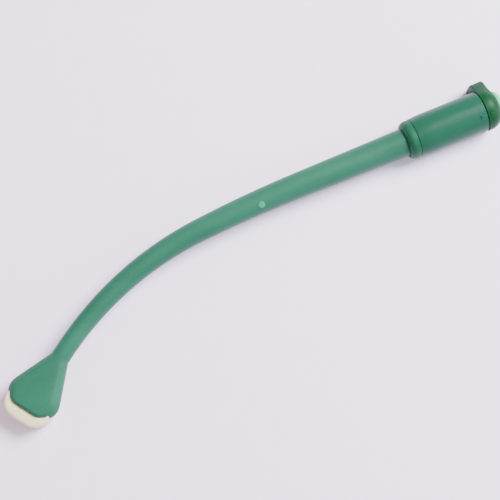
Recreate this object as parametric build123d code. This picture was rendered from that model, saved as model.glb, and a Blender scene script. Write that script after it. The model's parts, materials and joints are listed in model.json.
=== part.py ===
from build123d import *
import math
import os

# Single-use lighted laryngoscope wand, millimetres.
#
# The hub axis is the line y = 0, z = 0 and x runs from the front face of the hub's nose ring
# towards the push button. The stem leaves the nose along -X and bends towards -Y in the plane
# z = 0, which is also the parting plane of its two shells. At the end the whole model moves to
# its bottom centre, with +Z up.

# Stem: straight, then a gentle arc, then a tighter arc, then the straight head
STEM_STRAIGHT = 51.0
GENTLE_RADIUS, GENTLE_TURN = 566.0, 4.9
TIGHT_RADIUS, TIGHT_TURN = 148.6, 30.2
NECK_STRAIGHT = 4.0
STEM_R_REAR, STEM_R_NECK = 6.3, 4.1
STEM_WALL = 1.4
SPIGOT_R, SPIGOT_LENGTH = 5.95, 8.0
PEG_R, PEG_DEPTH, PEG_CLEARANCE = 0.45, 1.5, 0.03
PEG_STATIONS = (-10.0, -40.0)

# Head: flares from the neck to a blunt base edge
HEAD_LENGTH = 26.6
HEAD_FLARE = 22.6
HEAD_CORNER_R = 6.5
HEAD_TOP, HEAD_BOTTOM = 4.1, -8.0
HEAD_WALL = 1.5
BEVEL_WIDTH, BEVEL_START = 4.0, 0.3
MOUTH_HALF_WIDTH, MOUTH_TOP, MOUTH_BOTTOM = 7.5, 2.4, -5.4
BOSS_U, BOSS_V, BOSS_R = 17.0, 8.6, 1.2
DOWEL_R, DOWEL_DEPTH = 0.55, 2.5

# Light path
GUIDE_R = 2.0
SPREADER_HALF_WIDTH, SPREADER_HALF_HEIGHT = 6.6, 1.3
FERRULE_LENGTH = 5.0
GROMMET_LENGTH = 3.0
GROMMET_STATIONS = (22.0, 84.0, 120.0, 156.0)
WINDOW_STATION, WINDOW_TILT, WINDOW_R = 70.0, 28.0, 1.5
WINDOW_PROUD, WINDOW_INSIDE = 0.15, 0.3

# Soft tip
TIP_REACH = 5.4
TIP_TOP = 2.9
TIP_HALF_WIDTH, TIP_CORNER_R = 14.4, 7.5
TIP_PAD_START = 17.0

# Hub: nose ring, barrel and what they hold, as positions along x
RIM_R = 9.5
BARREL_R, BARREL_FRONT_R, BARREL_BORE_R = 9.2, 8.85, 7.7
BARREL_X0, BARREL_TAPER_END, BARREL_X1 = 4.5, 12.0, 36.9
NOSE_SHOULDER_X, NOSE_SHOULDER_R, NOSE_FACE_R = 2.8, 8.75, 7.2
FIT = 0.05
OPTIC_X0 = SPIGOT_LENGTH + 0.2
LENS_X0, LENS_X1, LENS_R = 9.6, 11.6, 3.9
LENS_TIP, LENS_DOME_R = 8.7, 3.1
BOARD_X0, BOARD_X1, BOARD_R = 13.8, 14.8, 7.4
SLEEVE_X0, SLEEVE_X1 = 15.0, 32.2
CELL_COUNT, CELL_R, CELL_HEIGHT, CELL_X0 = 3, 5.8, 5.4, 15.6
CELLS_END = CELL_X0 + CELL_COUNT * CELL_HEIGHT

# Bayonet: two lugs on the cap's spigot turn in grooves inside the barrel
CAP_TURN = 75.0
LUG_X0, LUG_X1, LUG_R, LUG_HALF_ANGLE = 33.3, 35.2, 8.45, 16.0
GROOVE_CLEARANCE, GROOVE_SLACK_ANGLE = 0.1, 1.5
LUG_CENTRES = (90.0, 270.0)

# End cap, push button and switch
CAP_SPIGOT_X0, CAP_X0, CAP_X1 = 32.9, 37.1, 44.0
CAP_SPIGOT_R, CAP_BORE_R = 7.6, 6.9
CAP_SHOULDER_X, CAP_REAR_R = 38.6, 6.9
CAP_REAR_WALL = 1.6
FOOT_REACH, FOOT_X1 = 13.2, 43.4
FOOT_ROOT, FOOT_TOP_Z = 4.0, 0.5
BUTTON_R, BUTTON_FLANGE_R, BUTTON_END = 6.2, 6.8, 48.2
HOUSING_X0, HOUSING_X1 = 36.9, 39.3
SPRING_POCKET_X, SPRING_POCKET_R = 37.9, 4.6
SPRING_SEAT_X = 42.9
PLUNGER_R, PLUNGER_SHANK_R = 2.2, 2.9


def rod(x0, x1, radius):
    """A cylinder on the hub axis."""
    return Pos((x0 + x1) / 2, 0, 0) * Rot(0, 90, 0) * Cylinder(radius, x1 - x0)


def tube(x0, x1, outer, inner):
    return rod(x0, x1, outer) - rod(x0 - 1, x1 + 1, inner)


def turned(*points):
    """A solid turned about the hub axis from (x, radius) corners."""
    return revolve(make_face(Polyline(*points, close=True)), Axis.X)


def dome_arc(x_edge, r_edge, x_tip):
    """Half of a spherical dome's outline, from its edge to its tip on the hub axis."""
    height = x_tip - x_edge
    sphere_r = (r_edge ** 2 + height ** 2) / (2 * abs(height))
    half_angle = math.asin(r_edge / sphere_r) / 2
    away = math.copysign(1, height)
    middle_x = x_tip - away * sphere_r * (1 - math.cos(half_angle))
    return ThreePointArc((x_edge, r_edge), (middle_x, sphere_r * math.sin(half_angle)),
                         (x_tip, 0))


def sector(x0, x1, outer, inner, start, sweep_angle):
    """Part of a ring on the hub axis. Angles run from +Y towards +Z."""
    length = x1 - x0
    wedge = Cylinder(outer, length, arc_size=sweep_angle) - Cylinder(inner, length + 1)
    return Pos((x0 + x1) / 2, 0, 0) * Rot(start + 90, 0, 0) * Rot(0, 90, 0) * wedge


def box(x0, x1, y0, y1, z0, z1):
    centre = Pos((x0 + x1) / 2, (y0 + y1) / 2, (z0 + z1) / 2)
    return centre * Box(x1 - x0, y1 - y0, z1 - z0)


# ---- the stem's centre line ----

def centre_line():
    straight = Line((0, 0), (-STEM_STRAIGHT, 0))
    gentle = JernArc(start=straight @ 1, tangent=straight % 1, radius=GENTLE_RADIUS,
                     arc_size=GENTLE_TURN)
    tight = JernArc(start=gentle @ 1, tangent=gentle % 1, radius=TIGHT_RADIUS,
                    arc_size=TIGHT_TURN)
    neck = Line(tight @ 1, tight @ 1 + (tight % 1) * NECK_STRAIGHT)
    return [straight, gentle, tight, neck]


RUNS = centre_line()
STEM_LENGTH = sum(run.length for run in RUNS)
HEAD = Plane(origin=RUNS[-1] @ 1, x_dir=RUNS[-1] % 1, z_dir=(0, 0, 1)).location


def stem_radius(distance):
    """Outer radius of the stem at a distance from the nose, along the centre line."""
    share = distance / STEM_LENGTH
    return STEM_R_REAR + (STEM_R_NECK - STEM_R_REAR) * share


def station(distance):
    """Point and direction on the centre line at a distance from the nose."""
    for run in RUNS:
        if distance <= run.length:
            return run @ (distance / run.length), run % (distance / run.length)
        distance -= run.length
    return RUNS[-1] @ 1, RUNS[-1] % 1


def along_stem(inset, radius=None):
    """A rod along the whole centre line, tapered with the stem or of one radius."""
    distance, sections = 0.0, []
    for run in [None] + RUNS:
        distance += run.length if run else 0.0
        point, direction = station(distance)
        size = radius if radius else stem_radius(distance) - inset
        sections.append(Plane(origin=point, z_dir=direction) * Circle(size))
    path = Wire([run.edge() for run in RUNS])
    return sweep(sections=sections, path=path, multisection=True)


def half(shape, upper):
    """The half of a shape above or below the parting plane."""
    keep = Keep.TOP if upper else Keep.BOTTOM
    return split(shape, bisect_by=Plane.XY, keep=keep)


# ---- the head, in its own frame: u along the head, v across it, z up ----

def half_width(u):
    return STEM_R_NECK + u * math.tan(math.radians(HEAD_FLARE))


def head_section(u, inset, upper):
    """Half a section of the head: six edges, round at the neck and bevelled at the base."""
    sign = 1 if upper else -1
    if u == 0:
        radius = STEM_R_NECK - inset
        corners, middles = ([Vector(0, radius * math.cos(math.radians(a)),
                                    sign * radius * math.sin(math.radians(a))) for a in angles]
                            for angles in ((180, 160, 118, 62, 20, 0), (170, 139, 90, 41, 10)))
        arcs = [ThreePointArc(corners[i], middles[i], corners[i + 1]) for i in range(5)]
        return make_face(arcs + [Line(corners[5], corners[0])])
    width = half_width(u) - inset
    depth = (HEAD_TOP if upper else -HEAD_BOTTOM) - inset
    flat = half_width(u) - BEVEL_WIDTH - inset / 2
    shoulder = depth * BEVEL_START
    return make_face(Polyline((u, -width, 0), (u, -width, sign * shoulder),
                              (u, -flat, sign * depth), (u, flat, sign * depth),
                              (u, width, sign * shoulder), (u, width, 0), close=True))


def plan(end, half_end, corner_r, low, high):
    """A prism over the head's outline: it tapers to the neck and has two rounded corners."""
    back = half_end - math.tan(math.radians(HEAD_FLARE)) * end
    outline = make_face(Polyline((0, -back), (end, -half_end), (end, half_end), (0, back),
                                 close=True))
    corners = outline.vertices().group_by(Axis.X)[-1]
    outline = fillet(corners, corner_r)
    return Pos(0, 0, low) * extrude(outline, high - low)


def head_half(inset, upper):
    """One half of the head, its outside (inset 0) or its cavity."""
    solid = loft([head_section(0, inset, upper), head_section(HEAD_LENGTH, inset, upper)],
                 ruled=True)
    end = HEAD_LENGTH - inset
    return solid & plan(end, half_width(end) - inset * 1.08, HEAD_CORNER_R - inset, -20, 20)


def mouth():
    return box(HEAD_LENGTH - 2 * HEAD_WALL, HEAD_LENGTH + 1, -MOUTH_HALF_WIDTH,
               MOUTH_HALF_WIDTH, MOUTH_BOTTOM, MOUTH_TOP)


# ---- stem and head shells ----

def peg_places():
    for x in PEG_STATIONS:
        middle = stem_radius(-x) - STEM_WALL / 2
        yield x, middle
        yield x, -middle


def pegs(radius, depth):
    return [Pos(x, y, -depth / 2) * Cylinder(radius, depth) for x, y in peg_places()]


def dowel(radius, top, bottom, side):
    return Pos(BOSS_U, side * BOSS_V, (top + bottom) / 2) * Cylinder(radius, top - bottom)


def shell(upper):
    """One moulded half of the stem, from its spigot in the hub to the head's base."""
    stem = half(OUTER_STEM - INNER_STEM, upper)
    spigot = half(tube(-0.5, SPIGOT_LENGTH, SPIGOT_R, STEM_R_REAR - STEM_WALL), upper)
    head = head_half(0, upper) - head_half(HEAD_WALL, upper) - mouth()
    inside = head_half(HEAD_WALL / 2, upper)
    for side in (1, -1):
        if upper:
            head += dowel(BOSS_R, HEAD_TOP, 0, side) & inside
            head += dowel(DOWEL_R, 1.0, -DOWEL_DEPTH, side)
        else:
            head += dowel(BOSS_R, 0, HEAD_BOTTOM, side) & inside
            head -= dowel(DOWEL_R + FIT, 0, -DOWEL_DEPTH - 0.2, side)
    body = stem + spigot + HEAD * head
    for peg in pegs(PEG_R if upper else PEG_R + PEG_CLEARANCE, PEG_DEPTH):
        body = body + peg if upper else body - peg
    if upper:
        body -= window_plug(FIT)
    return body


def window_plug(clearance=0.0):
    """A round pip through the wall of the stem, tilted from its top towards -Y."""
    point, direction = station(WINDOW_STATION)
    top = stem_radius(WINDOW_STATION) + WINDOW_PROUD + clearance
    bottom = stem_radius(WINDOW_STATION) - STEM_WALL - WINDOW_INSIDE - clearance
    frame = Plane(origin=point, x_dir=direction, z_dir=(0, 0, 1)).location
    plug = Pos(0, 0, (top + bottom) / 2) * Cylinder(WINDOW_R + clearance, top - bottom)
    return frame * Rot(-WINDOW_TILT, 0, 0) * plug


# ---- light path ----

def light_guide():
    curve = along_stem(0, GUIDE_R)
    return curve + rod(-0.5, SPIGOT_LENGTH, GUIDE_R)


def light_spreader():
    round_end = Pos(0.1, 0, 0) * Rot(0, 90, 0) * Circle(GUIDE_R)
    flat_end = Pos(HEAD_LENGTH - 2 * HEAD_WALL - 0.1, 0, 0) * Rot(0, 90, 0) * Rectangle(
        2 * SPREADER_HALF_HEIGHT, 2 * SPREADER_HALF_WIDTH)
    return HEAD * loft([round_end, flat_end])


def guide_grommets():
    rings = []
    for distance in GROMMET_STATIONS:
        point, direction = station(distance)
        outer = stem_radius(distance + GROMMET_LENGTH / 2) - STEM_WALL - FIT
        frame = Plane(origin=point, z_dir=direction).location
        ring = Cylinder(outer, GROMMET_LENGTH) - Cylinder(GUIDE_R + FIT, GROMMET_LENGTH + 1)
        rings.append(frame * ring)
    return rings


def guide_ferrule():
    return tube(SPIGOT_LENGTH - FERRULE_LENGTH, SPIGOT_LENGTH,
                STEM_R_REAR - STEM_WALL - FIT, GUIDE_R)


# ---- soft tip ----

def soft_tip():
    """Soft lip round the base edge, a pad under it to stand on, and a plug in the mouth."""
    end = HEAD_LENGTH + TIP_REACH
    lip = plan(end, TIP_HALF_WIDTH, TIP_CORNER_R, -RIM_R, TIP_TOP)
    lip &= box(TIP_PAD_START, end + 1, -20, 20, -RIM_R, TIP_TOP)
    lip = fillet(lip.edges().filter_by(lambda e: e.center().X > TIP_PAD_START + 1)
                 .filter_by(lambda e: e.center().Z > TIP_TOP - 0.1), 1.0)
    plug = box(HEAD_LENGTH - 2 * HEAD_WALL, HEAD_LENGTH + 1, -MOUTH_HALF_WIDTH + FIT,
               MOUTH_HALF_WIDTH - FIT, MOUTH_BOTTOM + FIT, MOUTH_TOP - FIT)
    envelope = head_half(0, True) + head_half(0, False)
    keep_out = envelope - mouth()
    return HEAD * (lip - envelope + (plug - keep_out))


# ---- hub ----

def nose_ring():
    """The domed front of the hub, with a neck that the barrel is bonded on."""
    dome = TangentArc((NOSE_SHOULDER_X, NOSE_SHOULDER_R), (0, NOSE_FACE_R), tangent=(-1, 0))
    rest = Polyline((0, NOSE_FACE_R), (0, SPIGOT_R + FIT), (SPIGOT_LENGTH, SPIGOT_R + FIT),
                    (SPIGOT_LENGTH, BARREL_BORE_R - FIT), (BARREL_X0, BARREL_BORE_R - FIT),
                    (BARREL_X0, NOSE_SHOULDER_R), (NOSE_SHOULDER_X, NOSE_SHOULDER_R))
    return revolve(make_face(dome.edges() + rest.edges()), Axis.X)


def barrel():
    front_x, chamfer = BARREL_X0 + 0.4, 0.3
    swell = TangentArc((BARREL_TAPER_END, BARREL_R), (front_x, BARREL_FRONT_R),
                       tangent=(-1, 0))
    rest = Polyline((front_x, BARREL_FRONT_R), (BARREL_X0, BARREL_FRONT_R - 0.4),
                    (BARREL_X0, BARREL_BORE_R), (BARREL_X1, BARREL_BORE_R),
                    (BARREL_X1, BARREL_R - chamfer), (BARREL_X1 - chamfer, BARREL_R),
                    (BARREL_TAPER_END, BARREL_R))
    body = revolve(make_face(swell.edges() + rest.edges()), Axis.X)
    outer = LUG_R + GROOVE_CLEARANCE
    x0, x1 = LUG_X0 - GROOVE_CLEARANCE, LUG_X1 + GROOVE_CLEARANCE
    wide = 2 * (LUG_HALF_ANGLE + GROOVE_SLACK_ANGLE)
    for centre in LUG_CENTRES:
        start = centre - wide / 2
        body -= sector(x0, x1, outer, BARREL_BORE_R - 1, start, wide + CAP_TURN)
        body -= sector(x1 - 0.1, BARREL_X1 + 1, outer, BARREL_BORE_R - 1, start + CAP_TURN, wide)
    return body


def lens_holder():
    return turned((OPTIC_X0, 3.2), (OPTIC_X0, 7.65), (BOARD_X0, 7.65), (BOARD_X0, 6.4),
                  (LENS_X1 + 0.2, 6.4), (LENS_X1 + 0.2, LENS_R + FIT), (LENS_X0, LENS_R + FIT),
                  (LENS_X0, 3.2))


def collimator_lens():
    """Plano-convex, its dome towards the light guide."""
    rim = Polyline((LENS_TIP, 0), (LENS_X1, 0), (LENS_X1, LENS_R), (LENS_X0 + FIT, LENS_R),
                   (LENS_X0 + FIT, LENS_DOME_R))
    dome = dome_arc(LENS_X0 + FIT, LENS_DOME_R, LENS_TIP)
    return revolve(make_face(rim.edges() + dome.edges()), Axis.X)


def led_package():
    base = box(BOARD_X0 - 0.7, BOARD_X0, -1.75, 1.75, -1.75, 1.75)
    dome = Pos(BOARD_X0 - 0.7, 0, 0) * Sphere(1.2) & box(0, BOARD_X0 - 0.7, -2, 2, -2, 2)
    return base + dome


def circuit_board():
    return rod(BOARD_X0, BOARD_X1, BOARD_R)


def board_resistors():
    return [box(BOARD_X0 - 0.5, BOARD_X0, y - 0.4, y + 0.4, -0.8, 0.8) for y in (4.4, -4.4)]


def front_contact():
    return turned((BOARD_X1, 0), (BOARD_X1, 3.0), (BOARD_X1 + 0.2, 3.0), (CELL_X0, 1.4),
                  (CELL_X0, 0))


def cell_sleeve():
    groove = box(SLEEVE_X0 - 1, SLEEVE_X1 + 1, -1.25, 1.25, -8.0, -7.1)
    return tube(SLEEVE_X0, SLEEVE_X1, BARREL_BORE_R - FIT, CELL_R + FIT) - groove


def return_strip():
    return box(BOARD_X1, SLEEVE_X1, -1.2, 1.2, -7.4, -7.1)


def cell_starts():
    return [CELL_X0 + index * CELL_HEIGHT for index in range(CELL_COUNT)]


def cell_cans():
    return [rod(x, x + 5.0, CELL_R) - rod(x + 0.3, x + 6, CELL_R - 0.3) for x in cell_starts()]


def cell_gaskets():
    return [tube(x + 3.4, x + 5.0, CELL_R - 0.3, CELL_R - 0.9) for x in cell_starts()]


def cell_caps():
    """The cap dish and the pack inside each cell, as one turned solid."""
    return [turned((x + 0.3, 0), (x + 0.3, CELL_R - 0.3), (x + 3.4, CELL_R - 0.3),
                   (x + 3.4, CELL_R - 0.9), (x + 5.1, CELL_R - 0.9), (x + CELL_HEIGHT, 4.4),
                   (x + CELL_HEIGHT, 0)) for x in cell_starts()]


def coil(x0, x1, radius, wire_r, turns, end_radius=None):
    """A spring on the hub axis with its ends inside x0 and x1."""
    length = x1 - x0 - 2 * wire_r
    cone = math.degrees(math.atan2((end_radius or radius) - radius, length))
    helix = Helix(pitch=length / turns, height=length, radius=radius, cone_angle=cone)
    profile = Plane(origin=helix @ 0, z_dir=helix % 0) * Circle(wire_r)
    return Pos(x0 + wire_r, 0, 0) * Rot(0, 90, 0) * sweep(profile, path=helix, is_frenet=True)


def cell_spring():
    return coil(CELLS_END + 0.05, HOUSING_X0 - 0.55, 2.2, 0.28, 4.0, end_radius=4.4)


def contact_plate():
    return rod(HOUSING_X0 - 0.5, HOUSING_X0, 5.5)


def earth_ring():
    return tube(SLEEVE_X1, SLEEVE_X1 + 0.3, 7.5, 6.4)


# ---- end cap ----

def cap_body():
    shoulder = Polyline((CAP_X1, 0), (CAP_X0, 0), (CAP_X0, RIM_R - 0.3), (CAP_X0 + 0.3, RIM_R),
                        (CAP_SHOULDER_X, RIM_R))
    rear = TangentArc((CAP_SHOULDER_X, RIM_R), (CAP_X1, CAP_REAR_R), tangent=(1, 0))
    side = Line((CAP_X1, CAP_REAR_R), (CAP_X1, 0))
    return revolve(make_face(shoulder.edges() + rear.edges() + side.edges()), Axis.X)


def thumb_foot():
    """Thumb lug with a flat underside level with the rim, so that the hub can't roll."""
    top_angle = math.acos(RIM_R / math.hypot(FOOT_REACH, FOOT_TOP_Z))
    top_angle += math.atan2(FOOT_TOP_Z, FOOT_REACH)
    touch = (RIM_R * math.cos(top_angle), RIM_R * math.sin(top_angle))
    section = make_face(Polyline((0, FOOT_ROOT, -RIM_R), (0, FOOT_REACH, -RIM_R),
                                 (0, FOOT_REACH, FOOT_TOP_Z), (0, touch[0], touch[1]),
                                 (0, FOOT_ROOT, 0), close=True))
    section = fillet(section.vertices().group_by(Axis.Y)[-1], 1.8)
    foot = extrude(Pos(CAP_X0, 0, 0) * section, FOOT_X1 - CAP_X0, dir=(1, 0, 0))
    ends = foot.faces().group_by(Axis.X)[0].edges() + foot.faces().group_by(Axis.X)[-1].edges()
    return fillet([edge for edge in ends if edge.center().Y > RIM_R], 0.7)


def end_cap():
    body = cap_body() + thumb_foot()
    body += tube(CAP_SPIGOT_X0, CAP_X0 + 0.1, CAP_SPIGOT_R, CAP_BORE_R)
    for centre in LUG_CENTRES:
        body += sector(LUG_X0, LUG_X1, LUG_R, CAP_SPIGOT_R - 0.2, centre - LUG_HALF_ANGLE,
                       2 * LUG_HALF_ANGLE)
    body -= rod(CAP_SPIGOT_X0 - 1, CAP_X1 - CAP_REAR_WALL, CAP_BORE_R)
    body -= rod(CAP_X1 - 3, CAP_X1 + 1, BUTTON_R + FIT)
    return body - tube(CAP_X0 - 1, CAP_X0 + 0.5, 8.9, 8.0)


def cap_gasket():
    return tube(CAP_X0 - 0.15, CAP_X0 + 0.5, 8.85, 8.05)


def cap_contact():
    """Ring on the front of the cap's spigot, with a leg back to the switch housing."""
    ring = tube(CAP_SPIGOT_X0 - 0.3, CAP_SPIGOT_X0, CAP_SPIGOT_R, 6.6)
    leg = box(CAP_SPIGOT_X0 - 0.1, HOUSING_X0, -1.0, 1.0, -6.8, -6.6)
    return ring + leg


def switch_housing():
    pocket = rod(SPRING_POCKET_X, HOUSING_X1 + 1, SPRING_POCKET_R)
    return rod(HOUSING_X0, HOUSING_X1, CAP_BORE_R - FIT) - pocket


def switch_dome():
    return turned((SPRING_POCKET_X, 0), (SPRING_POCKET_X, 2.0), (SPRING_POCKET_X + 0.3, 0.8),
                  (SPRING_POCKET_X + 0.3, 0))


def switch_plunger():
    return rod(HOUSING_X1 + 0.5, SPRING_SEAT_X, PLUNGER_R) + rod(
        SPRING_SEAT_X, SPRING_SEAT_X + 3.1, PLUNGER_SHANK_R)


def button_spring():
    return coil(SPRING_POCKET_X + 0.05, SPRING_SEAT_X - 0.05, 3.9, 0.25, 5.0)


def push_button():
    flange_x1 = CAP_X1 - CAP_REAR_WALL - FIT
    flange_x0 = flange_x1 - 1.35
    wall = Polyline((flange_x0, 0), (flange_x0, BUTTON_FLANGE_R), (flange_x1, BUTTON_FLANGE_R),
                    (flange_x1, BUTTON_R), (CAP_X1 + 1.2, BUTTON_R))
    dome = dome_arc(CAP_X1 + 1.2, BUTTON_R, BUTTON_END)
    axis = Line((BUTTON_END, 0), (flange_x0, 0))
    solid = revolve(make_face(wall.edges() + dome.edges() + axis.edges()), Axis.X)
    solid -= rod(flange_x0 - 1, SPRING_SEAT_X, SPRING_POCKET_R)
    return solid - rod(SPRING_SEAT_X - 1, SPRING_SEAT_X + 3.2, PLUNGER_SHANK_R + FIT)


OUTER_STEM = along_stem(0)
INNER_STEM = along_stem(STEM_WALL)

NODES = {
    "stem_upper_shell": shell(True), "stem_lower_shell": shell(False),
    "light_guide": light_guide(), "light_spreader": light_spreader(),
    "guide_grommets": guide_grommets(), "guide_ferrule": guide_ferrule(),
    "glow_window": window_plug(), "soft_tip": soft_tip(),
    "nose_ring": nose_ring(), "barrel": barrel(),
    "lens_holder": lens_holder(), "collimator_lens": collimator_lens(),
    "led_package": led_package(), "circuit_board": circuit_board(),
    "board_resistors": board_resistors(), "front_contact": front_contact(),
    "cell_sleeve": cell_sleeve(), "return_strip": return_strip(),
    "cell_cans": cell_cans(), "cell_gaskets": cell_gaskets(), "cell_caps": cell_caps(),
    "earth_ring": earth_ring(),
    "end_cap": end_cap(), "cap_gasket": cap_gasket(), "cap_contact": cap_contact(),
    "cell_spring": cell_spring(), "contact_plate": contact_plate(),
    "switch_housing": switch_housing(), "switch_dome": switch_dome(),
    "button_spring": button_spring(),
    "switch_plunger": switch_plunger(), "push_button": push_button(),
}


def solids_of(shape):
    """One solid as it is, or several as a compound."""
    if isinstance(shape, list):
        return Compound(children=[Solid(piece.solid().wrapped) for piece in shape])
    return shape.solid() if len(shape.solids()) == 1 else Compound(children=shape.solids())


def save_all():
    shapes = {name: solids_of(shape) for name, shape in NODES.items()}
    boxes = [shape.bounding_box() for shape in shapes.values()]
    low = [min(getattr(b.min, axis) for b in boxes) for axis in "XYZ"]
    high = [max(getattr(b.max, axis) for b in boxes) for axis in "XYZ"]
    origin = Pos(-(low[0] + high[0]) / 2, -(low[1] + high[1]) / 2, -low[2])
    print("shift", origin.position, "size", [high[i] - low[i] for i in range(3)])
    os.makedirs("parts", exist_ok=True)
    for name, shape in shapes.items():
        export_step(origin * shape, "parts/" + name + ".step")


save_all()
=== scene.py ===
"""Looks of a single-use lighted laryngoscope wand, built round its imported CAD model."""
import bmesh
import bpy
import json
import math
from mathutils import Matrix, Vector

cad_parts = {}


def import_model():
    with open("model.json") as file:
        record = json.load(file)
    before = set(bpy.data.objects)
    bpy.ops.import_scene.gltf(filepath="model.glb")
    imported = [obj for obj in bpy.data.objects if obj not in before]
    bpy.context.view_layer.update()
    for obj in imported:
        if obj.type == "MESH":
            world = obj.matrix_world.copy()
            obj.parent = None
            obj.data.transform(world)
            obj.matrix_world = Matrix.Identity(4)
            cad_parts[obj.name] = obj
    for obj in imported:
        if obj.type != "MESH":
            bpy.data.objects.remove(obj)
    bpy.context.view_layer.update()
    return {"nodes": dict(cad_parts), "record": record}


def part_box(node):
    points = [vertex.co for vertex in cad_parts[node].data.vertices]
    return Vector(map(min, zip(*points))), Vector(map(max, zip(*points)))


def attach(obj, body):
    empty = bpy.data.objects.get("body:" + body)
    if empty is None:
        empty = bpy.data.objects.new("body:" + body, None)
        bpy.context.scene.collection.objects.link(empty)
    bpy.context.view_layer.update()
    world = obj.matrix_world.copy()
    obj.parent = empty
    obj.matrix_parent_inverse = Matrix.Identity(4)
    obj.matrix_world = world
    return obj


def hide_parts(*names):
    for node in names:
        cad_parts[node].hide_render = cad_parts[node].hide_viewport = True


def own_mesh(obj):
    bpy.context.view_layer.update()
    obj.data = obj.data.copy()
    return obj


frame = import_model()
MM = 0.001
SHARP = 32.0    # an edge at which the surface turns by more degrees than this looks sharp

# ---- sizes, in millimetres: the wand's centre line and head as they are designed ----
STRAIGHT = 51.0
GENTLE_RADIUS, GENTLE_TURN = 566.0, math.radians(4.9)
TIGHT_RADIUS, TIGHT_TURN = 148.6, math.radians(30.2)
NECK_STRAIGHT = 4.0
RUNS = ((STRAIGHT, None), (GENTLE_RADIUS * GENTLE_TURN, GENTLE_RADIUS),
        (TIGHT_RADIUS * TIGHT_TURN, TIGHT_RADIUS), (NECK_STRAIGHT, None))
NECK = sum(length for length, radius in RUNS)
REAR_R, NECK_R, WALL = 6.3, 4.1, 1.4
SPIGOT_R, SPIGOT_LENGTH = 5.95, 8.0
HEAD_LENGTH, FLARE, CORNER_R = 26.6, math.radians(22.6), 6.5
HEAD_TOP, HEAD_BOTTOM = 4.1, 8.0
BEVEL, BEVEL_START, RIM_ROUND = 4.0, 0.3, 1.7
PARTING_GROOVE = 0.13
TIP_REACH, TIP_HALF, TIP_CORNER_R, TIP_START, TIP_TOP = 5.4, 14.4, 7.5, 17.0, 2.3
TIP_TOP_ROUND, TIP_GROOVES, TIP_GROOVE_HALF, TIP_GROOVE_DEPTH = 1.7, (-5.6, -2.9, -0.2), 0.5, 0.3
WINDOW_AT, WINDOW_TILT, WINDOW_R = 70.0, math.radians(28.0), 1.5
WINDOW_PROUD, WINDOW_INSIDE, WINDOW_CLEARANCE = 0.15, 0.3, 0.05

# ---- sizes of the end cap: x from the nose ring's front face, radii from the hub axis ----
SPIGOT_FRONT, CAP_FRONT, CAP_REAR = 32.9, 37.1, 44.0
CAP_R, CAP_SHOULDER, CAP_REAR_R = 9.5, 38.6, 6.9
CAP_SPIGOT_R, CAP_BORE_R, HOLE_R, REAR_WALL = 7.6, 6.9, 6.25, 1.6
LUG_FRONT, LUG_REAR, LUG_R, LUG_HALF = 33.3, 35.2, 8.45, 16.0
GROOVE_IN, GROOVE_OUT, GROOVE_DEPTH = 8.0, 8.9, 0.5
FOOT_REACH, FOOT_TOP, FOOT_REAR, FOOT_ROUND = 13.2, 0.5, 43.4, 1.0
SPRING_X0, SPRING_X1, SPRING_R, SPRING_WIRE_R, SPRING_TURNS = 37.95, 42.85, 3.9, 0.25, 5.0
LOCK_ANGLE, CAP_TURN = 118.0, 75.0

# ---- sizes of the raised marks: from the edge beside a mark to its base and to its point ----
BARREL_MARK_BASE, BARREL_MARK_POINT, BARREL_MARK_HALF = 3.4, 0.9, 1.1
CAP_MARK_BASE, CAP_MARK_POINT, CAP_MARK_HALF = 1.0, 0.5, 0.8

# ---- sizes of the lamp ----
LED_DOME_HEIGHT = 0.7

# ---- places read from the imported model, in millimetres ----
BARREL_LOW, BARREL_HIGH = (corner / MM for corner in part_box("barrel"))
NOSE_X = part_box("nose_ring")[0].x / MM
AXIS_Y, AXIS_Z = (BARREL_LOW.y + BARREL_HIGH.y) / 2, (BARREL_LOW.z + BARREL_HIGH.z) / 2
BARREL_R = (BARREL_HIGH.z - BARREL_LOW.z) / 2
BARREL_X0, BARREL_X1 = BARREL_LOW.x - NOSE_X, BARREL_HIGH.x - NOSE_X


# ---- node trees ----

class Term:
    """A socket that takes part in sums: each operator adds a Math node."""

    def __init__(self, recipe, socket):
        self.recipe, self.socket = recipe, socket

    def _sum(self, operation, *values):
        return self.recipe.add("ShaderNodeMath", {"operation": operation},
                               dict(enumerate(values)))

    def __add__(self, other):
        return self._sum("ADD", self, other)

    def __sub__(self, other):
        return self._sum("SUBTRACT", self, other)

    def __rsub__(self, other):
        return self._sum("SUBTRACT", other, self)

    def __mul__(self, other):
        return self._sum("MULTIPLY", self, other)

    def __pow__(self, other):
        return self._sum("POWER", self, other)

    def __abs__(self):
        return self._sum("ABSOLUTE", self)

    __radd__, __rmul__ = __add__, __mul__


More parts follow.
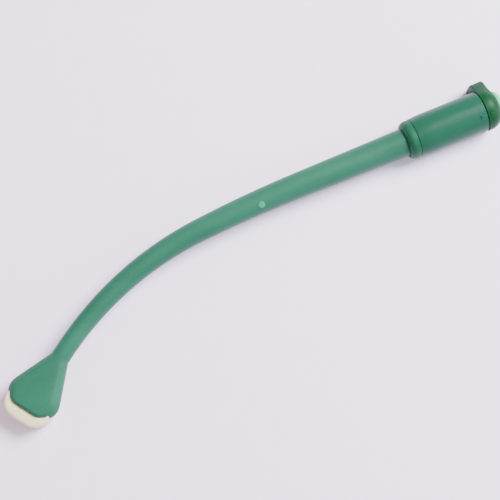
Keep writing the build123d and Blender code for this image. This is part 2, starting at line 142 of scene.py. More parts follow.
class Recipe:
    """A material and its node tree."""

    def __init__(self, name):
        self.material = bpy.data.materials.new(name)
        self.material.use_nodes = True
        self.tree = self.material.node_tree
        self.tree.nodes.clear()

    def add(self, kind, settings=None, values=None, output=0):
        """Adds a node: its settings first, then the values or links of its sockets."""
        node = self.tree.nodes.new(kind)
        for name, value in (settings or {}).items():
            setattr(node, name, value)
        for key, value in (values or {}).items():
            if isinstance(value, Term):
                self.tree.links.new(value.socket, node.inputs[key])
            else:
                node.inputs[key].default_value = value
        return Term(self, node.outputs[output]) if node.outputs else None

    def place(self, scale=(1, 1, 1)):
        """Where a point is on the piece, in metres, stretched by scale."""
        where = self.add("ShaderNodeTexCoord", output="Object")
        return self.add("ShaderNodeMapping", {}, {"Vector": where, "Scale": scale})

    def noise(self, size, detail=2.0, rough=0.5, stretch=(1, 1, 1)):
        """Noise from 0 to 1 with features of about this size in millimetres."""
        return self.add("ShaderNodeTexNoise", {},
                        {"Vector": self.place(stretch), "Scale": 1 / (size * MM),
                         "Detail": detail, "Roughness": rough})

    def between(self, value, low, high):
        """0 below low, 1 above high, and a smooth step between them."""
        return self.add("ShaderNodeMapRange", {"interpolation_type": "SMOOTHSTEP"},
                        {"Value": value, "From Min": low, "From Max": high})

    def mix(self, share, first, second):
        """Two colours mixed by a share from 0 to 1."""
        return self.add("ShaderNodeMix", {"data_type": "RGBA"},
                        {"Factor": share, "A": first, "B": second}, output="Result")

    def axis(self, name):
        """The x, y or z of a point on the piece, in metres."""
        return self.add("ShaderNodeSeparateXYZ", {}, {"Vector": self.place()}, output=name)

    def bump(self, height, depth):
        """A normal from a height, of which 1 stands for this depth in millimetres."""
        return self.add("ShaderNodeBump", {},
                        {"Height": height, "Distance": depth * MM, "Strength": 1.0})

    def surface(self, **values):
        """The shader and the output. Socket names have underscores for spaces."""
        named = {name.replace("_", " "): value for name, value in values.items()}
        shader = self.add("ShaderNodeBsdfPrincipled", {}, named)
        self.add("ShaderNodeOutputMaterial", {}, {"Surface": shader})
        return self.material


def shade(colour, factor):
    """The colour made darker or lighter by a factor."""
    return tuple(channel * factor for channel in colour[:3]) + (1.0,)


# ---- materials ----

def moulded(name, colour, roughness=0.40, grain=0.010, wear=0.5, glow=0.0, edges=(),
            shine=0.22):
    """Injection-moulded plastic: flow marks, pigment specks, fine scratches, a satin skin.

    The edges are places along the hub, in millimetres, where handling has rubbed it pale.
    """
    r = Recipe(name)
    flow = r.noise(16, 4, 0.6, (0.3, 1, 1))
    specks = r.noise(0.35, 1)
    scuffs = r.between(r.noise(3.2, 5, 0.7, (0.25, 1.6, 1.2)), 0.60, 0.74) * wear
    hairlines = r.between(r.noise(1.1, 2, 0.5, (0.06, 1.8, 1.8)), 0.66, 0.72) * wear
    body = r.mix(r.between(flow, 0.3, 0.7), shade(colour, 0.86), shade(colour, 1.10))
    body = r.mix(r.between(specks, 0.42, 0.72) * 0.4, body, shade(colour, 1.3))
    body = r.mix(scuffs * 0.35, body, shade(colour, 1.7))
    rubbed = r.between(r.noise(0.9, 4, 0.65), 0.42, 0.62) * wear
    for x in edges:
        near = 1 - r.between(abs(r.axis("X") - (NOSE_X + x) * MM), 0.0001, 0.0005)
        body = r.mix(near * rubbed, body, shade(colour, 2.4))
    skin = r.noise(0.22, 2, 0.6)
    sink = r.noise(7, 1)
    height = skin + sink + hairlines * -0.8 + scuffs * -0.4
    rough = flow * 0.10 + (roughness - 0.05) + scuffs * 0.22 + hairlines * 0.1
    return r.surface(Base_Color=body, Roughness=rough, Normal=r.bump(height, grain),
                     IOR=1.38, Specular_IOR_Level=shine, Subsurface_Weight=glow,
                     Subsurface_Scale=0.0015, Subsurface_Radius=(0.5, 1.0, 0.8))


def silicone(name, colour):
    """Soft translucent rubber with a powdery bloom and a little picked-up dust."""
    r = Recipe(name)
    cloud = r.noise(5, 3, 0.6)
    dust = r.between(r.noise(0.6, 3, 0.65), 0.64, 0.72)
    body = r.mix(r.between(cloud, 0.3, 0.7), shade(colour, 0.94), shade(colour, 1.04))
    body = r.mix(dust * 0.35, body, shade(colour, 0.72))
    return r.surface(Base_Color=body, Roughness=cloud * 0.12 + 0.42 + dust * 0.15,
                     Normal=r.bump(r.noise(0.3, 3, 0.6), 0.01), IOR=1.41,
                     Subsurface_Weight=0.45, Subsurface_Scale=0.003,
                     Subsurface_Radius=(1.0, 0.8, 0.5), Sheen_Weight=0.15,
                     Sheen_Roughness=0.5)


def clear(name, colour, roughness=0.05):
    """Polished clear acrylic with faint flow lines."""
    r = Recipe(name)
    flow = r.noise(4, 2, 0.5, (0.2, 1, 1))
    body = r.mix(flow, shade(colour, 0.97), shade(colour, 1.0))
    return r.surface(Base_Color=body, Roughness=flow * 0.06 + roughness,
                     Normal=r.bump(flow, 0.01), IOR=1.49, Transmission_Weight=0.9)


def metal(name, colour, roughness=0.3, lay=(1, 12, 12)):
    """Brushed or drawn metal: the lay gives the direction of its lines."""
    r = Recipe(name)
    lines = r.noise(1.2, 3, 0.6, lay)
    tarnish = r.between(r.noise(4, 3, 0.6), 0.45, 0.7)
    body = r.mix(tarnish * 0.4, colour, shade(colour, 0.62))
    return r.surface(Base_Color=body, Metallic=1.0,
                     Roughness=lines * 0.18 + roughness + tarnish * 0.1,
                     Normal=r.bump(lines, 0.004))


def laminate(name):
    """Green solder mask over copper rings, with tinned pads."""
    r = Recipe(name)
    y, z = r.axis("Y") + -AXIS_Y * MM, r.axis("Z") + -AXIS_Z * MM
    radius = (y * y + z * z) ** 0.5
    rings = r.between(radius, 0.0060, 0.0061) * (1 - r.between(radius, 0.0068, 0.0069))
    pads = 1 - r.between(radius, 0.0022, 0.0023)
    body = r.mix(r.noise(1.0, 2), (0.01, 0.10, 0.04, 1), (0.015, 0.15, 0.06, 1))
    body = r.mix(rings, body, (0.03, 0.24, 0.09, 1))
    body = r.mix(pads, body, (0.62, 0.6, 0.55, 1))
    return r.surface(Base_Color=body, Metallic=pads * 0.9, Roughness=0.35 + pads * 0.05,
                     Normal=r.bump(rings + pads, 0.03))


def lamp(name, dome_x):
    """White ceramic base, and a yellow phosphor dome in front of it."""
    r = Recipe(name)
    dome = 1 - r.between(r.axis("X"), dome_x - 0.00003, dome_x)
    specks = r.noise(0.12, 2)
    phosphor = r.mix(specks, (0.72, 0.5, 0.05, 1), (0.85, 0.68, 0.12, 1))
    return r.surface(Base_Color=r.mix(dome, (0.78, 0.78, 0.74, 1), phosphor),
                     Roughness=0.45 - dome * 0.2, Normal=r.bump(specks, 0.01))


def floor_card(name, colour):
    """Smooth pale card with a faint mottle."""
    r = Recipe(name)
    mottle = r.noise(9, 4, 0.6)
    tooth = r.noise(0.5, 2)
    body = r.mix(r.between(mottle, 0.3, 0.7), shade(colour, 0.985), shade(colour, 1.01))
    return r.surface(Base_Color=body, Roughness=0.7, Normal=r.bump(tooth, 0.01))


GREEN = (0.0155, 0.091, 0.055, 1)
BARREL_GREEN = (0.0085, 0.063, 0.037, 1)
NOSE_GREEN = (0.008, 0.070, 0.036, 1)
CAP_GREEN = (0.002, 0.038, 0.012, 1)
BUTTON_GREEN = (0.05, 0.47, 0.215, 1)
# Painted highlight: the light pip's pale green stands partly for a glint on the stem, and partly
# for a lighter window plastic.
PIP_GREEN_WITH_PAINTED_GLINT = (0.045, 0.20, 0.125, 1)
# Painted shadow: the soft tip's cream stands partly for the warm shadow the head casts past its
# end, and partly for a pale silicone tip.
CREAM_WITH_PAINTED_SHADOW = (0.74, 0.62, 0.40, 1)
BRASS, STEEL = (0.78, 0.56, 0.25, 1), (0.56, 0.57, 0.58, 1)
LED_DOME_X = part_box("led_package")[1].x - LED_DOME_HEIGHT * MM

MATERIALS = {
    "stem_plastic": moulded("stem_plastic", GREEN),
    "barrel_plastic": moulded("barrel_plastic", BARREL_GREEN, 0.34, 0.007,
                              edges=(BARREL_X0, BARREL_X1)),
    "nose_plastic": moulded("nose_plastic", NOSE_GREEN, 0.45, 0.012, edges=(0.2,)),
    "cap_plastic": moulded("cap_plastic", CAP_GREEN, 0.42, 0.010,
                           edges=(CAP_FRONT + 0.2, CAP_REAR), shine=0.15),
    "button_plastic": moulded("button_plastic", BUTTON_GREEN, 0.3, 0.005, 0.3, 0.35),
    # The window's pale green is partly a painted highlight.
    "window_plastic": moulded("window_plastic", PIP_GREEN_WITH_PAINTED_GLINT, 0.2, 0.004, 0.2, 0.5),
    # The soft tip's cream colour is partly painted shadow.
    "tip_silicone": silicone("tip_silicone", CREAM_WITH_PAINTED_SHADOW),
    "clear_acrylic": clear("clear_acrylic", (0.93, 0.97, 0.96, 1)),
    "grommet_foam": silicone("grommet_foam", (0.03, 0.03, 0.035, 1)),
    "ferrule_metal": metal("ferrule_metal", (0.68, 0.69, 0.71, 1), 0.28, (12, 1, 1)),
    "white_plastic": moulded("white_plastic", (0.72, 0.72, 0.69, 1)),
    "led_body": lamp("led_body", LED_DOME_X),
    "board_laminate": laminate("board_laminate"),
    "resistor_ceramic": moulded("resistor_ceramic", (0.03, 0.03, 0.035, 1), 0.5),
    "brass_contact": metal("brass_contact", BRASS, 0.25),
    "spring_steel": metal("spring_steel", STEEL, 0.22, (6, 6, 6)),
    "cell_steel": metal("cell_steel", (0.66, 0.66, 0.66, 1), 0.2, (1, 8, 8)),
    "cell_gasket": moulded("cell_gasket", (0.04, 0.09, 0.26, 1), 0.45),
    "seal_rubber": silicone("seal_rubber", (0.02, 0.02, 0.02, 1)),
    "black_plastic": moulded("black_plastic", (0.022, 0.022, 0.026, 1), 0.42),
}


# ---- mesh helpers ----

def bridge(mesh, loops, around=True):
    """Adds faces between each loop of vertices and the next, all round or from end to end."""
    for first, second in zip(loops, loops[1:]):
        for i in range(len(first) if around else len(first) - 1):
            after = (i + 1) % len(first)
            mesh.faces.new((first[i], first[after], second[after], second[i]))
    return loops


def bridge_and_close(mesh, loops):
    """Adds faces as bridge does, with one more face over the first loop and one over the last."""
    bridge(mesh, loops)
    mesh.faces.new(loops[0])
    mesh.faces.new(loops[-1])


def creased(mesh, angle):
    """Smooth faces, with sharp edges where the mesh turns by more than the angle."""
    for face in mesh.faces:
        face.smooth = True
    for edge in mesh.edges:
        edge.smooth = edge.is_manifold and edge.calc_face_angle(0) < math.radians(angle)


def finished(mesh, name, angle=SHARP):
    """A mesh object from a bmesh: doubles merged, normals outward, smooth but for edges."""
    bmesh.ops.remove_doubles(mesh, verts=mesh.verts, dist=0.0005 * MM)
    bmesh.ops.dissolve_degenerate(mesh, edges=mesh.edges, dist=0.0002 * MM)
    bmesh.ops.recalc_face_normals(mesh, faces=mesh.faces)
    creased(mesh, angle)
    data = bpy.data.meshes.new(name)
    mesh.to_mesh(data)
    mesh.free()
    piece = bpy.data.objects.new(name, data)
    bpy.context.scene.collection.objects.link(piece)
    return piece


def applied(piece, kind, **settings):
    """Adds a modifier to a piece and applies it."""
    modifier = piece.modifiers.new(kind.lower(), kind)
    for name, value in settings.items():
        setattr(modifier, name, value)
    evaluated = piece.evaluated_get(bpy.context.evaluated_depsgraph_get())
    data = bpy.data.meshes.new_from_object(evaluated)
    piece.modifiers.clear()
    piece.data = data
    return piece


def carved(piece, cutter):
    """Cuts one piece's shape out of another, and deletes the cutter."""
    applied(piece, "BOOLEAN", object=cutter, operation="DIFFERENCE", solver="EXACT")
    bpy.data.objects.remove(cutter)
    return piece


def dress(piece, slot, body, *nodes):
    """Gives a piece its material and its body, and hides the CAD nodes it stands for."""
    piece.data.materials.clear()
    piece.data.materials.append(MATERIALS[slot])
    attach(piece, body)
    if nodes:
        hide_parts(*nodes)
    return piece


# ---- places along the stem and the hub, and the head's outline ----

def centre(distance):
    """Point and heading on the centre line, in millimetres from the nose."""
    x, y, heading, left = NOSE_X, AXIS_Y, math.pi, distance
    for length, radius in RUNS + ((math.inf, None),):
        step = min(left, length)
        if radius:
            turn = step / radius
            x += radius * (math.sin(heading + turn) - math.sin(heading))
            y -= radius * (math.cos(heading + turn) - math.cos(heading))
            heading += turn
        else:
            x += step * math.cos(heading)
            y += step * math.sin(heading)
        left -= step
        if left <= 0:
            break
    return x, y, heading


def on_line(distance, across, up):
    """A point beside the centre line, in metres."""
    x, y, heading = centre(distance)
    return Vector((x - across * math.sin(heading), y + across * math.cos(heading),
                   AXIS_Z + up)) * MM


def on_hub(x, radius, angle):
    """A point by the hub axis, in metres. The angle runs from +Y towards +Z."""
    return Vector((NOSE_X + x, AXIS_Y + radius * math.cos(angle),
                   AXIS_Z + radius * math.sin(angle))) * MM


def corner_centre(end, half_end, corner_r):
    """The middle of the rounded corner between a flared side and the end edge."""
    return end - corner_r, half_end - corner_r * math.tan(FLARE) - corner_r / math.cos(FLARE)


def plan_width(u, end, half_end, corner_r):
    """Half width of a flared outline with two rounded corners at its end."""
    side = half_end - (end - u) * math.tan(FLARE)
    corner_u, corner_v = corner_centre(end, half_end, corner_r)
    if u <= corner_u - corner_r * math.sin(FLARE):
        return side
    return corner_v + math.sqrt(max(0.0, corner_r ** 2 - (u - corner_u) ** 2))


def edge_distance(u, v, end, half_end, corner_r):
    """How far inside the end edge and its corners a point is."""
    corner_u, corner_v = corner_centre(end, half_end, corner_r)
    inside = end - u
    if u > corner_u - corner_r * math.sin(FLARE) and abs(v) > corner_v:
        inside = min(inside, corner_r - math.hypot(u - corner_u, abs(v) - corner_v))
    return max(0.0, inside)


# ---- stem and head shells ----

# Degrees round a half section: its points, and the places of the head's corners.
ANGLES = [0.0, 1.6] + [4.5 * step for step in range(1, 40)] + [178.4, 180.0]
CORNER_ANGLES = (0.0, 20.0, 62.0, 118.0, 160.0, 180.0)


def flat_section(angle, half, depth, bevel):
    """The head's six-sided section, at an angle about its middle."""
    if angle < 0 or angle > 180:
        across, up = flat_section(-angle if angle < 0 else 360 - angle, half, depth, bevel)
        return across, -up
    shoulder = depth * BEVEL_START
    corners = ((half, 0), (half, shoulder), (half - bevel, depth), (bevel - half, depth),
               (-half, shoulder), (-half, 0))
    for index in range(5):
        start, stop = CORNER_ANGLES[index:index + 2]
        if angle <= stop:
            share = (angle - start) / (stop - start)
            (v0, z0), (v1, z1) = corners[index], corners[index + 1]
            return v0 + (v1 - v0) * share, z0 + (z1 - z0) * share


def soft_section(angle, half, depth, bevel, spread=7.0, reach=4):
    """The same section with its corners rounded: each point is the mean of its neighbours."""
    points = [flat_section(angle + spread * step / reach, half, depth, bevel)
              for step in range(-reach, reach + 1)]
    return tuple(sum(values) / len(points) for values in zip(*points))


def head_share(u):
    """How far the section at u has turned from the stem's to the head's, from 0 to 1."""
    share, blend = u / HEAD_LENGTH, 0.05
    return (share + math.sqrt(share ** 2 + blend ** 2)) / 2 if share > -0.6 else 0.0


def ring(distance, inset, depth):
    """Half a ring of points (across, up) round the centre line."""
    u = distance - NECK
    radius = REAR_R + (NECK_R - REAR_R) * min(1, max(0, distance / NECK)) - inset
    if distance < 0:
        radius = SPIGOT_R if inset == 0 else REAR_R - inset
    share = head_share(u)
    end, half_end = HEAD_LENGTH - inset, NECK_R + HEAD_LENGTH * math.tan(FLARE) - inset
    corner_r = CORNER_R - inset
    points = []
    for angle in ANGLES:
        turn = math.radians(angle)
        flat = soft_section(angle, half_end, depth - inset, BEVEL)
        across = radius * math.cos(turn) * (1 - share) + flat[0] * share
        up = radius * math.sin(turn) * (1 - share) + flat[1] * share
        if u > 0:
            side = radius * (1 - share) + half_end * share
            across *= min(1, plan_width(u, end, half_end, corner_r) / side)
            inside = edge_distance(u, across, end, half_end, corner_r)
            if inside < RIM_ROUND and inset == 0:
                drop = RIM_ROUND - math.sqrt(RIM_ROUND ** 2 - (RIM_ROUND - inside) ** 2)
                up *= 1 - drop / depth
        if angle in (0.0, 180.0) and inset == 0 and distance > 0:
            across -= math.copysign(PARTING_GROOVE, across)
        points.append((across, up))
    return points


def stations(inset, flare_steps=34, end_steps=22):
    """Distances of the rings: spigot, stem, flare, and the rounded end of the head."""
    end = NECK + HEAD_LENGTH - inset
    end_zone, spacing, before_neck, step_out = CORNER_R + 3.0, 2.0, 16, 0.002
    values = [-SPIGOT_LENGTH, -step_out, 0.0]
    values += [spacing * step for step in range(1, int((NECK - before_neck) / spacing))]
    flare_start = values[-1] + 1.0
    values += [flare_start + (end - end_zone - flare_start) * step / flare_steps
               for step in range(flare_steps)]
    values += [end - end_zone * (1 - math.sin(math.pi / 2 * step / end_steps))
               for step in range(end_steps + 1)]
    return values


def skin(mesh, inset, depth, sign):
    """Adds one half skin to the mesh and gives its rings of vertices."""
    rings = [[mesh.verts.new(on_line(distance, across, sign * up))
              for across, up in ring(distance, inset, depth)]
             for distance in stations(inset)]
    return bridge(mesh, rings, around=False)


def half_shell(name, upper):
    """One moulded half of the stem and head, with its wall and its parting edge."""
    mesh = bmesh.new()
    depth, sign = (HEAD_TOP, 1) if upper else (HEAD_BOTTOM, -1)
    outer = skin(mesh, 0.0, depth, sign)
    inner = skin(mesh, WALL, depth, sign)
    last = len(ANGLES) - 1
    for j in range(len(outer) - 1):
        for i in (0, last):
            mesh.faces.new((outer[j][i], outer[j + 1][i], inner[j + 1][i], inner[j][i]))
    for i in range(last):
        mesh.faces.new((outer[0][i], outer[0][i + 1], inner[0][i + 1], inner[0][i]))
    mesh.faces.new(outer[-1])
    mesh.faces.new(inner[-1])
    mesh.faces.new((outer[-1][0], outer[-1][last], inner[-1][last], inner[-1][0]))
    return finished(mesh, name)


def tip_outline(inset, steps=18):
    """The soft tip seen from above, as (u, v) points, drawn in by inset."""
    end, half_end = HEAD_LENGTH + TIP_REACH - inset, TIP_HALF - inset * 1.08
    corner_r = TIP_CORNER_R - inset
    corner_u, corner_v = corner_centre(end, half_end, corner_r)
    start = TIP_START + inset
    side = [(start, plan_width(start, end, half_end, corner_r))]
    turn = math.pi / 2 + FLARE
    side += [(corner_u + corner_r * math.cos(turn - turn * step / steps),
              corner_v + corner_r * math.sin(turn - turn * step / steps))
             for step in range(steps + 1)]
    return side + [(u, -v) for u, v in reversed(side)]


def tip_levels(steps=7):
    """The soft tip's side from its sole to its top, as (height, inset) pairs."""
    bottom, half, depth = -AXIS_Z, TIP_GROOVE_HALF, TIP_GROOVE_DEPTH
    levels = [(bottom, 0.9), (bottom + 0.12, 0.5), (bottom + 0.4, 0.15), (bottom + 0.8, 0)]
    for groove in TIP_GROOVES:
        levels += [(groove - half, 0), (groove - 0.3, 0.22), (groove, depth),
                   (groove + 0.3, 0.22), (groove + half, 0)]
    for step in range(steps + 1):
        turn = math.pi / 2 * step / steps
        levels.append((TIP_TOP - TIP_TOP_ROUND * (1 - math.sin(turn)),
                       TIP_TOP_ROUND * (1 - math.cos(turn))))
    return levels


def head_core():
    """The head's outer shape as one closed solid, to cut the soft tip with."""
    mesh = bmesh.new()
    loops = []
    for distance in stations(0.0):
        if distance < NECK + 6:
            continue
        top = ring(distance, 0.0, HEAD_TOP)
        bottom = ring(distance, 0.0, HEAD_BOTTOM)
        loop = [(v, z) for v, z in top[1:-1]] + [(v, -z) for v, z in reversed(bottom[1:-1])]
        loops.append([mesh.verts.new(on_line(distance, v, z)) for v, z in loop])
    bridge_and_close(mesh, loops)
    return finished(mesh, "core")


def soft_tip():
    """Lip, sole and plug in one silicone piece, cut to fit the head."""
    mesh = bmesh.new()
    loops = [[mesh.verts.new(on_line(NECK + u, v, z)) for u, v in tip_outline(inset)]
             for z, inset in tip_levels()]
    bridge_and_close(mesh, loops)
    return carved(finished(mesh, "soft_silicone_tip", 40), head_core())


def dome_radius(x):
    """Radius of the cap's domed outside at x."""
    drop, run = CAP_R - CAP_REAR_R, CAP_REAR - CAP_SHOULDER
    arc_r = (run ** 2 + drop ** 2) / (2 * drop)
    return CAP_R - arc_r + math.sqrt(arc_r ** 2 - max(0.0, x - CAP_SHOULDER) ** 2)


def foot_radius(x, angle, softness=14):
    """Radius of the cap's outside where the thumb foot stands out, at x and an angle."""
    dome = dome_radius(x)
    corner = math.hypot(FOOT_REACH, FOOT_TOP)
    touch = math.acos(dome / corner) + math.atan2(FOOT_TOP, FOOT_REACH)
    if not -math.pi / 2 < angle < touch:
        return dome
    planes = [dome / math.cos(angle - touch) if angle > touch - 1.5 else math.inf,
              FOOT_REACH / math.cos(angle),
              -CAP_R / math.sin(angle) if angle < -0.05 else math.inf]
    rounded = sum(plane ** -softness for plane in planes) ** (-1 / softness)
    root_start, root_spread = -79, 15
    root = min(1, max(0, (math.degrees(angle) - root_start) / root_spread))
    return max(dome, dome + (rounded - dome) * root * root * (3 - 2 * root))


def cap_outline(angle):
    """The end cap's closed outline (x, radius) at an angle from +Y towards +Z."""
    turn = math.degrees(angle) % 180
    lug = LUG_R if abs(turn - 90) < LUG_HALF else CAP_SPIGOT_R
    bevel = 0.25
    points = [(SPIGOT_FRONT, CAP_BORE_R), (SPIGOT_FRONT, CAP_SPIGOT_R - bevel),
              (SPIGOT_FRONT + bevel, CAP_SPIGOT_R), (LUG_FRONT, CAP_SPIGOT_R),
              (LUG_FRONT, lug - 0.1), (LUG_FRONT + 0.1, lug), (LUG_REAR - 0.1, lug),
              (LUG_REAR, lug - 0.1), (LUG_REAR, CAP_SPIGOT_R), (CAP_FRONT, CAP_SPIGOT_R),
              (CAP_FRONT, GROOVE_IN), (CAP_FRONT + GROOVE_DEPTH, GROOVE_IN),
              (CAP_FRONT + GROOVE_DEPTH, GROOVE_OUT), (CAP_FRONT, GROOVE_OUT)]
    edge = 0.3 + (FOOT_ROUND - 0.3) * min(1, (foot_radius(CAP_FRONT, angle) - CAP_R) / 1.5)
    for step in range(7):
        share = math.pi / 2 * step / 6
        x = CAP_FRONT + edge * (1 - math.cos(share))
        points.append((x, foot_radius(x, angle) - edge * (1 - math.sin(share))))
    height = foot_radius(FOOT_REAR, angle) - dome_radius(FOOT_REAR)
    edge_x, rear = points[-1][0], min(FOOT_ROUND, height * 0.8)
    points += [(x, foot_radius(x, angle)) for x in
               (edge_x + (FOOT_REAR - rear - edge_x) * step / 16 for step in range(1, 16))]
    for step in range(7):
        share = math.pi / 2 * step / 6
        x = FOOT_REAR - rear * (1 - math.sin(share))
        points.append((x, foot_radius(x, angle) - rear * (1 - math.cos(share))))
    low, high = dome_radius(FOOT_REAR), points[-1][1]
    points += [(FOOT_REAR, high + (low - high) * step / 4) for step in range(1, 4)]
    points += [(FOOT_REAR + 0.0001, low), (CAP_REAR - 0.25, dome_radius(CAP_REAR - 0.25)),
               (CAP_REAR - 0.07, CAP_REAR_R - 0.02), (CAP_REAR, CAP_REAR_R - 0.2),
               (CAP_REAR, HOLE_R + 0.12), (CAP_REAR - 0.12, HOLE_R),
               (CAP_REAR - REAR_WALL, HOLE_R), (CAP_REAR - REAR_WALL, CAP_BORE_R)]
    return points


def end_cap():
    """The bayonet cap with its two lugs, gasket groove and thumb foot."""
    lug_edges = [side + end * (LUG_HALF + away) for side in (90, -90)
                 for end in (-1, 1) for away in (-0.1, 0.1)]
    foot_side = [1.5 * step - 109.5 for step in range(145)]
    plain_side = [3.0 * step for step in range(36, 84)]
    degrees = sorted(foot_side + plain_side + lug_edges)
    mesh = bmesh.new()
    loops = []
    for degree in degrees:
        angle = math.radians(degree if degree <= 180 else degree - 360)
        loops.append([mesh.verts.new(on_hub(x, radius, angle))
                      for x, radius in cap_outline(angle)])
    bridge(mesh, loops + loops[:1])
    return finished(mesh, "bayonet_end_cap", 35)


def plug_in_stem(name, outline, steps=32):
    """A round plug through the stem's wall, from (height over the skin, radius) pairs."""
    mesh = bmesh.new()
    rings = []
    skin_radius = REAR_R + (NECK_R - REAR_R) * WINDOW_AT / NECK
    for lift, out in outline:
        loop = []
        for step in range(steps):
            turn = 2 * math.pi * step / steps
            across, up = out * math.cos(turn), skin_radius + lift
            loop.append(mesh.verts.new(on_line(
                WINDOW_AT + out * math.sin(turn),
                across * math.cos(WINDOW_TILT) + up * math.sin(WINDOW_TILT),
                up * math.cos(WINDOW_TILT) - across * math.sin(WINDOW_TILT))))
        rings.append(loop)
    bridge(mesh, rings)
    return finished(mesh, name, 50)


def light_pip():
    """A small domed light window, pressed through the wall of the stem."""
    inside, bevel, dome_steps = -WALL - WINDOW_INSIDE, 0.15, 5
    outline = [(inside, 0.0), (inside, WINDOW_R - bevel), (inside + bevel, WINDOW_R),
               (-0.08, WINDOW_R), (0.04, WINDOW_R - 0.05)]
    outline += [(WINDOW_PROUD * math.cos(math.pi / 2 * step / dome_steps),
                 (WINDOW_R - 0.1) * math.sin(math.pi / 2 * step / dome_steps))
                for step in range(dome_steps - 1, -1, -1)]
    return plug_in_stem("light_pip", outline)


def stem_top_half():
    """The upper shell, with the hole that the light pip is pressed into."""
    low, high, hole_r = -WALL - 1, 0.6, WINDOW_R + WINDOW_CLEARANCE
    drill = plug_in_stem("drill", [(low, 0.0), (low, hole_r), (high, hole_r), (high, 0.0)])
    shell = carved(half_shell("stem_top_half", True), drill)
    mesh = bmesh.new()
    mesh.from_mesh(shell.data)
    creased(mesh, SHARP)
    mesh.to_mesh(shell.data)
    mesh.free()
    return shell


def return_spring():
    """The button's coil spring, with its end turns closed up."""
    mesh = bmesh.new()
    turns, per_turn, sides = SPRING_TURNS, 36, 8
    low, high = SPRING_X0 + SPRING_WIRE_R, SPRING_X1 - SPRING_WIRE_R
    closed = SPRING_WIRE_R * 2.05
    rings = []
    for step in range(int(turns * per_turn) + 1):
        turn = step / per_turn
        if turn < 1:
            x = low + closed * turn
        elif turn > turns - 1:
            x = high - closed * (turns - turn)
        else:
            x = low + closed + (high - low - 2 * closed) * (turn - 1) / (turns - 2)
        loop = []
        for side in range(sides):
            way = 2 * math.pi * side / sides
            loop.append(mesh.verts.new(on_hub(x + SPRING_WIRE_R * math.sin(way),
                                              SPRING_R + SPRING_WIRE_R * math.cos(way),
                                              2 * math.pi * turn)))
        rings.append(loop)
    bridge_and_close(mesh, rings)
    return finished(mesh, "button_return_spring", 60)


def index_mark(name, x0, x1, half, radius, angle, sunk=0.3, side=0.12, proud=0.25):
    """A small raised wedge on the hub, from x0 to its point at x1, that shows the lock."""
    mesh = bmesh.new()
    layers, way = [], math.copysign(1, x1 - x0)
    for lift, shrink in ((-sunk, 0.0), (side, 0.0), (proud, 0.25)):
        corners = ((x0 + way * shrink, half - shrink), (x1 - way * shrink * 2, 0.0),
                   (x0 + way * shrink, shrink - half))
        layers.append([mesh.verts.new(on_hub(x, radius + lift, angle + across / radius))
                       for x, across in corners])
    bridge_and_close(mesh, layers)
    return finished(mesh, name)


# ---- assemble ----

def dress_frame():
    """Every CAD node that stays gets the material of its slot."""
    slots = {part["node"]: part["material_slot"] for part in frame["record"]["subparts"]}
    for name, node in frame["nodes"].items():
        node.data.materials.clear()
        node.data.materials.append(MATERIALS[slots[name]])


dress_frame()
dress(stem_top_half(), "stem_plastic", "wand", "stem_upper_shell")
dress(half_shell("stem_bottom_half", False), "stem_plastic", "wand", "stem_lower_shell")
dress(soft_tip(), "tip_silicone", "wand", "soft_tip")
dress(light_pip(), "window_plastic", "wand", "glow_window")
dress(end_cap(), "cap_plastic", "cap", "end_cap")
spring = dress(return_spring(), "spring_steel", "cap", "button_spring")
on_hub(SPRING_X0, 0, 0)
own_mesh(spring)
LOCK_AT, OPEN_AT = math.radians(LOCK_ANGLE), math.radians(LOCK_ANGLE + CAP_TURN)
for name, at in (("barrel_lock_mark", LOCK_AT), ("barrel_open_mark", OPEN_AT)):
    dress(index_mark(name, BARREL_X1 - BARREL_MARK_BASE, BARREL_X1 - BARREL_MARK_POINT,
                     BARREL_MARK_HALF, BARREL_R, at), "barrel_plastic", "wand")
dress(index_mark("cap_mark", CAP_SHOULDER + CAP_MARK_BASE, CAP_FRONT + CAP_MARK_POINT,
                 CAP_MARK_HALF, CAP_R, LOCK_AT), "cap_plastic", "cap")


# ---- camera, light and floor ----

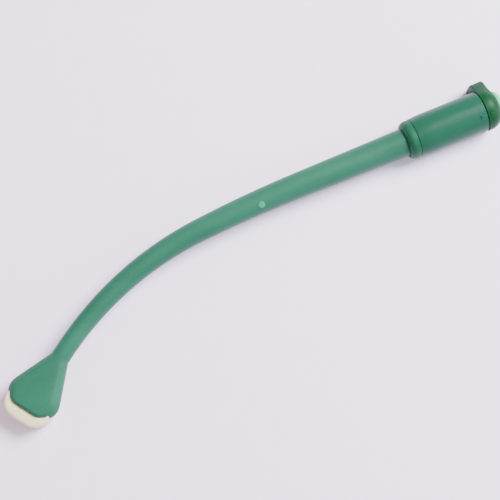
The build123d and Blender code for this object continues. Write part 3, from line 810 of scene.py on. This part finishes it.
VIEW_TURN, VIEW_HEIGHT = math.radians(-22.5), math.radians(80)
VIEW_WIDTH = 220.0 * MM
LENS, SENSOR = 85.0, 36.0
AIM = Vector((NOSE_X - 81.8, AXIS_Y - 18.1, 6.0)) * MM


def camera():
    """A long lens that looks down on the wand, 10 degrees off the vertical."""
    data = bpy.data.cameras.new("camera")
    data.lens, data.sensor_width = LENS, SENSOR
    data.clip_start, data.clip_end = 0.01, 20.0
    eye = bpy.data.objects.new("camera", data)
    bpy.context.scene.collection.objects.link(eye)
    away = VIEW_WIDTH * LENS / SENSOR
    back = Vector((math.sin(VIEW_TURN) * math.cos(VIEW_HEIGHT),
                   -math.cos(VIEW_TURN) * math.cos(VIEW_HEIGHT), math.sin(VIEW_HEIGHT)))
    eye.location = AIM + back * away
    eye.rotation_euler = (-back).to_track_quat("-Z", "Y").to_euler()
    bpy.context.scene.camera = eye


def area_light(name, right, up, height, size, power, colour):
    """A square light, placed to the right of and beyond the aim, that points at it."""
    data = bpy.data.lights.new(name, "AREA")
    data.size, data.energy, data.color = size, power, colour
    light = bpy.data.objects.new(name, data)
    bpy.context.scene.collection.objects.link(light)
    side = Vector((math.cos(VIEW_TURN), math.sin(VIEW_TURN), 0))
    ahead = Vector((-math.sin(VIEW_TURN), math.cos(VIEW_TURN), 0))
    light.location = AIM + side * right + ahead * up + Vector((0, 0, height))
    light.rotation_euler = (AIM - light.location).to_track_quat("-Z", "Y").to_euler()


def floor():
    """A pale card, 6 m wide."""
    mesh = bmesh.new()
    bmesh.ops.create_grid(mesh, x_segments=2, y_segments=2, size=3.0)
    card = finished(mesh, "floor")
    card.data.materials.append(floor_card("floor_card", (0.90, 0.765, 1.0, 1)))


def world():
    """Even, slightly warm light from all round."""
    sky = bpy.data.worlds.new("world")
    sky.use_nodes = True
    back = sky.node_tree.nodes["Background"]
    back.inputs["Color"].default_value = (1.0, 0.95, 0.90, 1)
    back.inputs["Strength"].default_value = 0.98
    bpy.context.scene.world = sky


camera()
world()
floor()
area_light("key", 0.95, 0.60, 1.25, 0.8, 108.0, (0.92, 0.97, 1.0))
area_light("window", 1.4, 0.0, 0.46, 0.7, 13.0, (0.70, 0.88, 1.0))
